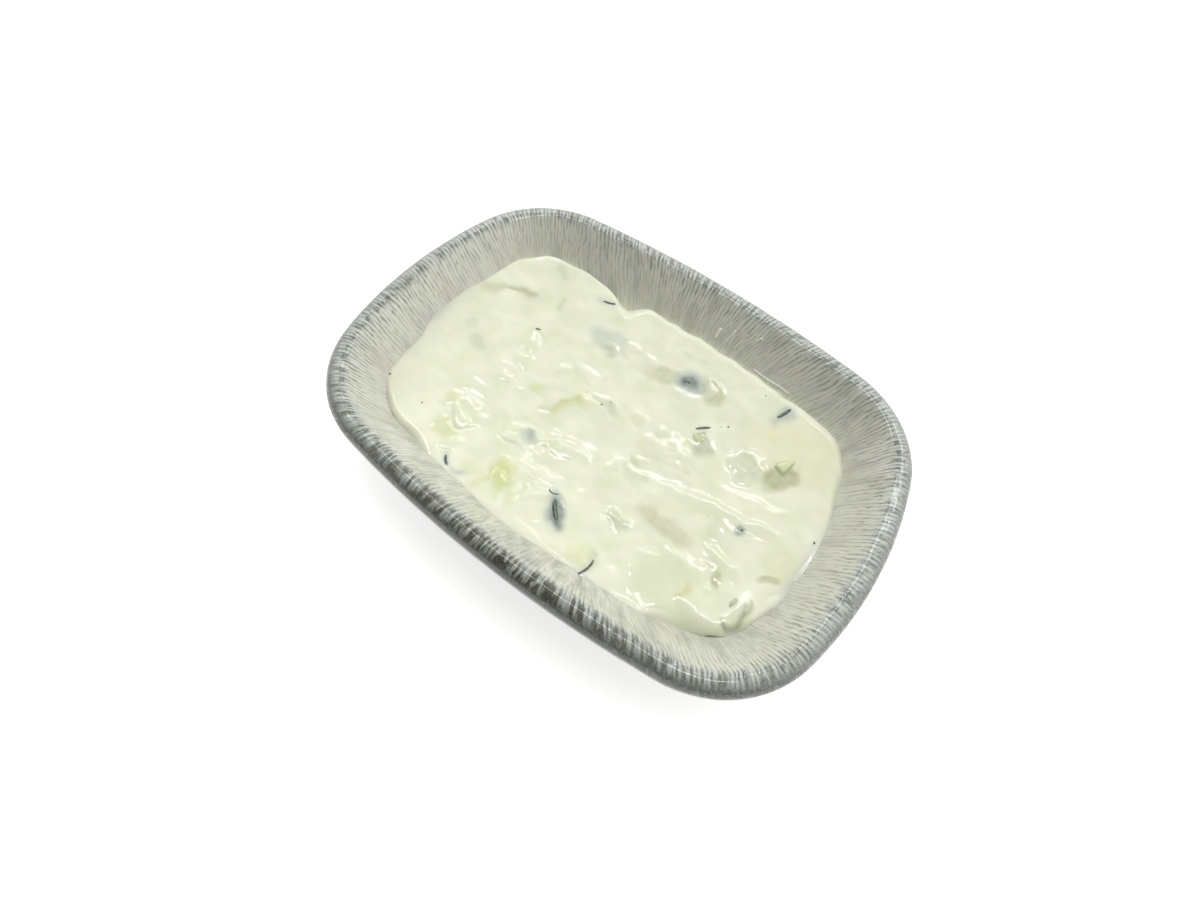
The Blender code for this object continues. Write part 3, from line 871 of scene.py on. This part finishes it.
def dipPiece(material):
    x, y = dipGrid()
    z, colour = dipSkin(x, y)
    top = np.stack([x, y, z], axis=-1).reshape(-1, 3)
    index = np.arange(x.size).reshape(x.shape)
    border = np.concatenate([index[:-1, 0], index[-1, :-1], index[1:, -1][::-1], index[0, 1:][::-1]])
    floorRing = top[border].copy()
    floorRing[:, :2] *= dip["base"]
    floorRing[:, 2] = section["floorHeight"] - dip["sunk"]
    low = len(top) + np.arange(len(border))
    skirt = np.stack([border, np.roll(border, -1), np.roll(low, -1), low], axis=-1)[:, ::-1]
    faces = gridFaces(index).tolist() + skirt.tolist() + [low[::-1].tolist()]
    points = np.concatenate([top, floorRing])
    flat = colour.reshape(-1, 3)
    colours = np.concatenate([flat, flat[border]])
    addPiece("yoghurt_dip", points, faces, material, "yoghurt", ["tzatziki"], colours)


# A closed tube along a path: its side and up directions are half its width and thickness long
def tubeMesh(path, side, up):
    angles = np.linspace(0.0, 2 * math.pi, tubeSides + 1)[:-1]
    rings = np.stack([path + side * math.cos(a) + up * math.sin(a) for a in angles], axis=1)
    return rings.reshape(-1, 3), [face[::-1] for face in ringFaces(*rings.shape[:2])]


# Half the width of a strip along its length, with rounded ends
def stripSwell(shares, power, width):
    return np.sqrt(np.clip(1.0 - (2.0 * shares - 1.0) ** power, 0.02, 1.0))[:, None] * width / 2


def joinMeshes(meshes):
    points, faces, start = [], [], 0
    for places, sides in meshes:
        points.append(places)
        faces.extend([[corner + start for corner in side] for side in sides])
        start += len(places)
    return np.concatenate(points), faces


# Thin pale traces of yoghurt on the far wall, laid along the thin white lines where that wall catches the
# lamps, so in part a painted highlight: the way round the dish and down from the crest of its lip, in
# millimetres, and the width of the trace
traces = (
    (((92.3, 6.6), (93.2, 6.4), (93.9, 8.0)), 0.6),
    (((97.1, 12.4), (96.9, 9.0), (97.0, 7.8), (97.5, 10.4), (98.4, 13.2)), 0.6),
    (((100.3, 13.8), (100.5, 9.4), (100.8, 8.5), (101.1, 10.2), (101.8, 13.7)), 0.6),
    (((105.0, 10.0), (105.1, 11.6), (105.0, 13.4)), 1.0),
    (((76.5, 15.0), (80.0, 14.8), (85.0, 15.2), (90.0, 14.9)), 0.6),
)
traceSteps = 40
tubeSides = 8


def traceMesh(points, width):
    knots = np.array(points)
    stretch = distanceAlong(knots)
    shares = np.linspace(0.0, 1.0, traceSteps + 1)
    around, down = (np.interp(shares, stretch / stretch[-1], knots[:, axis]) for axis in (0, 1))
    edge, out = (np.stack([np.interp(around, dishEdge["run"], values) for values in dishEdge[key].T], -1)
                 for key in ("places", "outwards"))
    below = down - section["lipRadius"] * innerSlope
    inset = innerTopInset + below * math.cos(innerSlope)
    middle = np.column_stack([edge - out * inset[:, None], innerTopHeight - below * math.sin(innerSlope)])
    up = np.column_stack([-out * math.sin(innerSlope), np.full(len(out), math.cos(innerSlope))])
    ahead = np.gradient(middle, axis=0)
    side = np.cross(ahead / np.linalg.norm(ahead, axis=1)[:, None], up)
    swell = stripSwell(shares, 6, width)
    return tubeMesh(middle, side * swell, up * swell * 0.7)


def tracesPiece(material):
    points, faces = joinMeshes([traceMesh(*entry) for entry in traces])
    # the pale paste colour stands in partly for the far wall's highlights
    colours = np.tile(linear(yoghurtLook["paste"])[:3], (len(points), 1))
    addPiece("yoghurt_traces", points, faces, material, "yoghurt", colours=colours)


yoghurt = yoghurtMaterial()
dipPiece(yoghurt)
tracesPiece(yoghurt)
print("dip built")

# Cucumber, chopped by hand: wet pale flesh, greener towards the peel. Light passes some way into it, so
# it looks like cloudy glass, and its cut faces are smooth and shine.
cucumberLook = {
    "flesh": "#d3d9b2",
    "core": "#dfe2c4",
    "green": "#c0c99c",
    "peel": "#7f8d72",
    "grain": 0.5,            # mm, the fibres of the flesh
    "roughness": 0.08,
    "ior": 1.36,
    "depth": 2.0,            # mm that light travels in it
}
# The peel: a thin waxy dark green skin, nearly black where it is wet
peelLook = {
    "dark": "#3f4b43",
    "light": "#76836f",
    "streak": 0.7,           # mm
    "roughness": 0.22,
    "ior": 1.42,
}


def fleshMaterial():
    material = newMaterial("cucumberFlesh")
    tree = material.node_tree
    look = cucumberLook
    tint = addNode(tree, "VertexColor", {}, {"layer_name": "tint"})
    place = addNode(tree, "TexCoord", {}, output="Object")
    grain = 1 / (look["grain"] * millimetre)
    fibres = addNode(tree, "TexNoise", {"Vector": place, "Scale": grain, "Detail": 2.0})
    share = addNode(tree, "MapRange", {"Value": fibres, "From Min": 0.35, "From Max": 0.7, "To Max": 0.4})
    colour = addNode(tree, "Mix", {0: share, 6: tint, 7: linear(look["core"])}, {"data_type": "RGBA"}, 2)
    relief = addNode(tree, "Bump", {"Height": fibres, "Strength": 0.3, "Distance": bumpDepth})
    return finishMaterial(material, look, {
        "Base Color": colour, "Subsurface Weight": 0.8, "Subsurface Radius": (0.9, 1.0, 0.5),
        "Subsurface Scale": look["depth"] * millimetre, "Normal": relief})


def peelMaterial():
    material = newMaterial("cucumberPeel")
    tree = material.node_tree
    look = peelLook
    place = addNode(tree, "TexCoord", {}, output="Object")
    grain = 1 / (look["streak"] * millimetre)
    streaks = addNode(tree, "TexNoise", {"Vector": place, "Scale": grain, "Detail": 2.0})
    share = addNode(tree, "MapRange", {"Value": streaks, "From Min": 0.35, "From Max": 0.75})
    ends = {0: share, 6: linear(look["dark"]), 7: linear(look["light"])}
    colour = addNode(tree, "Mix", ends, {"data_type": "RGBA"}, 2)
    return finishMaterial(material, look, {"Base Color": colour})


# A block whose edges are softer the lower its power, centred on the origin, from -1 to 1 each way
def softBlock(power, cells):
    steps = np.linspace(-1.0, 1.0, cells + 1)
    u, v = (grid.ravel() for grid in np.meshgrid(steps, steps, indexing="ij"))
    one = np.ones_like(u)
    sides = (np.stack([one, u, v], -1), np.stack([-one, v, u], -1), np.stack([v, one, u], -1),
             np.stack([u, -one, v], -1), np.stack([u, v, one], -1), np.stack([v, u, -one], -1))
    quads = gridFaces(np.arange((cells + 1) ** 2).reshape(cells + 1, cells + 1))
    points = np.concatenate(sides)
    faces = np.concatenate([quads + side * len(u) for side in range(6)])
    kept, places = np.unique(np.round(points, 6), axis=0, return_inverse=True)
    length = (np.abs(kept) ** power).sum(axis=1) ** (1 / power)
    return kept / length[:, None], places.ravel()[faces]


# One entry for each piece that breaks the skin: its size, its turn, how soft its edges are (its power),
# how it narrows along its length and towards its top, its bend, how far its top lies above the skin,
# the side with the peel or 0 for none, and what it is made of
chopped = {
    "cucumber_wedge": ((8.6, 7.6, 6.0), 66.0, 4.0, 0.8, 0.45, 0.0, 0.9, 0.0, "flesh"),
    "cucumber_lump_right": ((8.8, 6.6, 5.6), 30.0, 3.2, 0.1, 0.2, 0.0, -0.4, 0.0, "flesh"),
    "cucumber_slice": ((7.6, 5.6, 5.0), 60.0, 4.0, 0.1, 0.1, 0.0, 0.12, 0.0, "green"),
    "cucumber_crescent": ((10.8, 4.6, 3.8), 96.0, 2.6, 0.2, 0.1, -0.25, -0.35, -1.0, "green"),
    "cucumber_chunk_near": ((12.6, 9.4, 7.0), -28.0, 3.4, 0.2, 0.3, 0.0, -0.4, 0.0, "flesh"),
    "cucumber_chunk_left": ((9.4, 7.4, 6.2), 40.0, 3.6, 0.2, 0.3, 0.0, -0.4, 0.0, "flesh"),
    "cucumber_chunk_green": ((10.6, 8.0, 6.0), -30.0, 3.4, 0.3, 0.3, 0.0, -0.4, 0.0, "green"),
    "cucumber_core_strip": ((14.6, 3.4, 4.2), -3.0, 4.0, 0.4, 0.1, 0.1, -0.2, 0.0, "core"),
    "cucumber_seed_oval": ((6.2, 3.2, 3.4), -18.0, 2.2, 0.3, 0.0, 0.0, -0.1, 0.0, "flesh"),
    "cucumber_peel_strip": ((10.4, 3.3, 3.0), -44.0, 2.4, 0.45, 0.4, 0.12, 0.5, 0.0, "peel"),
}
choppedDetail = {
    "cells": 22,
    "topEnds": 0.6,          # how much of the narrowing towards the top the ends get
    "unevenSize": 2.4,
    "uneven": 0.18,          # mm
    "mottleSize": 1.8,
    "mottle": 0.35,
    "peelPlace": (0.55, 0.85),       # from where to where the flesh turns into peel, across the piece
}


def choppedPiece(name, material, slotName, size, turn, power, narrow, top, bend, show, peelSide, body):
    low, high = (np.array(corner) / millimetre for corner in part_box(name))
    middle = (low + high) / 2
    detail = choppedDetail
    shape, faces = softBlock(power, detail["cells"])
    along, across, up = shape.T.copy()
    across = across * (1.0 - narrow * (along + 1.0) / 2) * (1.0 - top * (up + 1.0) / 2)
    along = along * (1.0 - top * detail["topEnds"] * (up + 1.0) / 2)
    across = across + bend * (along ** 2 - 0.5) * size[0] / size[1]
    local = np.stack([along, across, up], -1) * np.array(size) / 2
    seed = sum(map(ord, name)) % 50
    pulls = [noiseAt(local, detail["unevenSize"], seed + k) for k in range(3)]
    local += detail["uneven"] * np.stack(pulls, -1)
    x, y = turnedPlace(middle[0], middle[1], local[:, 0], local[:, 1], turn)
    z = local[:, 2] - local[:, 2].max() + skinAt(*middle[:2]) + show
    spots = (0.5 + 0.5 * noiseAt(local, detail["mottleSize"], seed)) * detail["mottle"]
    colours = tinted(np.array(linear(cucumberLook[body])[:3]), spots, cucumberLook, "green")
    if peelSide:
        share = smoothstep(shape[:, 1] * peelSide, *detail["peelPlace"])
        colours = tinted(colours, share, cucumberLook, "peel")
    pieceName = name.replace("cucumber_", "chopped_")
    addPiece(pieceName, np.stack([x, y, z], -1), faces.tolist(), material, slotName, [name], colours)


# Slivers of peel and dill: the places each one runs through, its width, its thickness, its height
# above the skin
slivers = (
    (((17.0, -40.8), (17.8, -38.8), (18.3, -36.4), (18.0, -34.6)), 0.6, 0.4, 0.0),
    (((33.8, 30.4), (34.8, 32.6), (35.6, 35.0)), 1.0, 0.4, -0.02),
    (((-29.0, 32.4), (-27.0, 33.0), (-25.2, 33.9)), 0.7, 0.4, -0.04),
    (((-29.6, -35.8), (-28.6, -37.1), (-27.2, -38.0)), 0.8, 0.4, -0.05),
    (((17.4, 13.8), (19.0, 15.4), (20.6, 16.7)), 0.75, 0.5, -0.02),
    (((-38.8, 12.0), (-37.2, 12.6)), 0.6, 0.3, -0.05),
    (((6.2, 24.2), (7.2, 25.2), (8.3, 24.9)), 0.8, 0.4, -0.08),
    (((-3.0, -26.0), (-1.4, -26.7), (0.2, -25.5)), 0.4, 0.3, -0.02),
)
sliverSteps = 24
# Flecks of dill: place and length
flecks = {
    "placed": ((43.3, -4.4, 1.1), (-7.9, 3.8, 1.0), (-45.5, -28.4, 1.0), (-57.7, -27.5, 1.1),
               (60.0, 4.1, 1.3), (24.4, 20.0, 1.0), (-6.2, 6.0, 0.6), (22.8, 18.7, 0.6), (27.7, 34.6, 0.7)),
    "width": (0.25, 0.45),   # a share of its length
    "thickness": 0.22,       # half of it, in millimetres
    "sunk": 0.18,            # how far its middle lies under the skin
    "power": 2.4,
    "cells": 4,
    "seed": 8,
}


def sliverMesh(points, width, thickness, lift):
    knots = np.array(points)
    run = distanceAlong(knots)
    shares = np.linspace(0.0, 1.0, sliverSteps + 1)
    smooth = np.polyfit(run / run[-1], knots, min(3, len(knots) - 1))
    path = np.stack([np.polyval(smooth[:, axis], shares) for axis in (0, 1)], -1)
    ahead = np.gradient(path, axis=0)
    ahead /= np.linalg.norm(ahead, axis=1)[:, None]
    side = np.column_stack([-ahead[:, 1], ahead[:, 0], np.zeros(len(ahead))])
    middle = np.column_stack([path, dipSkin(path[:, 0], path[:, 1])[0] + lift])
    up = np.array([0.0, 0.0, 1.0])
    return tubeMesh(middle, side * stripSwell(shares, 4, width), up * stripSwell(shares, 4, thickness))


def fleckMeshes():
    draw = random.Random(flecks["seed"])
    made = []
    for x, y, size in flecks["placed"]:
        shape, faces = softBlock(flecks["power"], flecks["cells"])
        turn = draw.uniform(0.0, 180.0)
        shape = shape * (size / 2, size * draw.uniform(*flecks["width"]), flecks["thickness"])
        turned = turnedPlace(x, y, shape[:, 0], shape[:, 1], turn)
        height = skinAt(x, y) - flecks["sunk"] + shape[:, 2]
        made.append((np.column_stack([*turned, height]), faces.tolist()))
    return made


def addChopped():
    flesh, peel = fleshMaterial(), peelMaterial()
    for name, entry in chopped.items():
        kind = (peel, "cucumber_peel") if entry[-1] == "peel" else (flesh, "cucumber_flesh")
        choppedPiece(name, *kind, *entry)
    addPiece("peel_slivers", *joinMeshes([sliverMesh(*entry) for entry in slivers]), peel, "cucumber_peel")
    addPiece("herb_flecks", *joinMeshes(fleckMeshes()), peel, "cucumber_peel")


addChopped()
print("cucumber and herbs laid in")

# Room and light: a pale floor, a soft room that is darker in front, two lamp strips and a panel overhead
studio = {
    "floor": "#f6f6f4",
    "floorGlow": 0.65,
    "floorReach": 4.0,       # metres each way
    "roughness": 0.9,
    "ior": 1.5,
    "front": 0.08,           # strength of the room's light from there
    "back": 0.85,
    "sides": 0.37,           # more of it from left and right
    "strips": {"middle": -52.0, "length": 296.0, "depth": 14.0, "height": 260.0, "rows": (15.0, 172.0),
               "radiance": 6.0, "glint": 54.0},          # glint: more of it, in reflections alone
    "panel": {"place": (5.0, 80.0, 330.0), "size": (420.0, 300.0), "radiance": 1.2},
}


def addFloor():
    material = finishMaterial(newMaterial("paleStudioFloor"), studio, {
        "Base Color": linear(studio["floor"]), "Specular IOR Level": 0.1,
        "Emission Color": (1.0, 1.0, 1.0, 1.0), "Emission Strength": studio["floorGlow"]})
    mesh = bpy.data.meshes.new("floor")
    reach = studio["floorReach"]
    corners = [(x * reach, y * reach, 0) for x, y in ((-1, -1), (1, -1), (1, 1), (-1, 1))]
    mesh.from_pydata(corners, [], [range(4)])
    mesh.materials.append(material)
    floor = addObject("floor", mesh)


def addBar(name, place, width, depth, radiance, diffuse=True, glossy=True):
    data = bpy.data.lights.new(name, "AREA")
    data.shape = "RECTANGLE"
    data.size = width * millimetre
    data.size_y = depth * millimetre
    data.energy = radiance * data.size * data.size_y * math.pi
    light = addObject(name, data)
    light.location = Vector(place) * millimetre
    light.visible_diffuse = diffuse
    light.visible_glossy = glossy


def addRoom():
    world = bpy.data.worlds.new("softRoom")
    world.use_nodes = True
    tree = world.node_tree
    direction = addNode(tree, "TexCoord", {}, output="Generated")
    right, back = (addNode(tree, "SeparateXYZ", {"Vector": direction}, output=axis) for axis in "XY")
    fromBack = addNode(tree, "MapRange", {"Value": back, "From Min": -0.6, "From Max": 0.5,
                                          "To Min": studio["front"], "To Max": studio["back"]},
                       {"interpolation_type": "SMOOTHSTEP"})
    sideways = addNode(tree, "Math", {0: right, 1: 2.0}, {"operation": "POWER"})
    strength = addNode(tree, "Math", {0: sideways, 1: studio["sides"], 2: fromBack},
                       {"operation": "MULTIPLY_ADD"})
    background = tree.nodes["Background"]
    background.inputs["Color"].default_value = (1.0, 1.0, 1.0, 1.0)
    tree.links.new(strength, background.inputs["Strength"])
    bpy.context.scene.world = world


def addLamps():
    strips = studio["strips"]
    for row in strips["rows"]:
        place = (strips["middle"], row, strips["height"])
        for radiance, diffuse in ((strips["radiance"], True), (strips["glint"], False)):
            addBar("strip", place, strips["length"], strips["depth"], radiance, diffuse)
    panel = studio["panel"]
    addBar("panel", panel["place"], *panel["size"], panel["radiance"], glossy=False)


addFloor()
addRoom()
addLamps()
bpy.context.scene.view_settings.view_transform = "Standard"
bpy.context.scene.view_settings.look = "None"
print("floor and lights set")
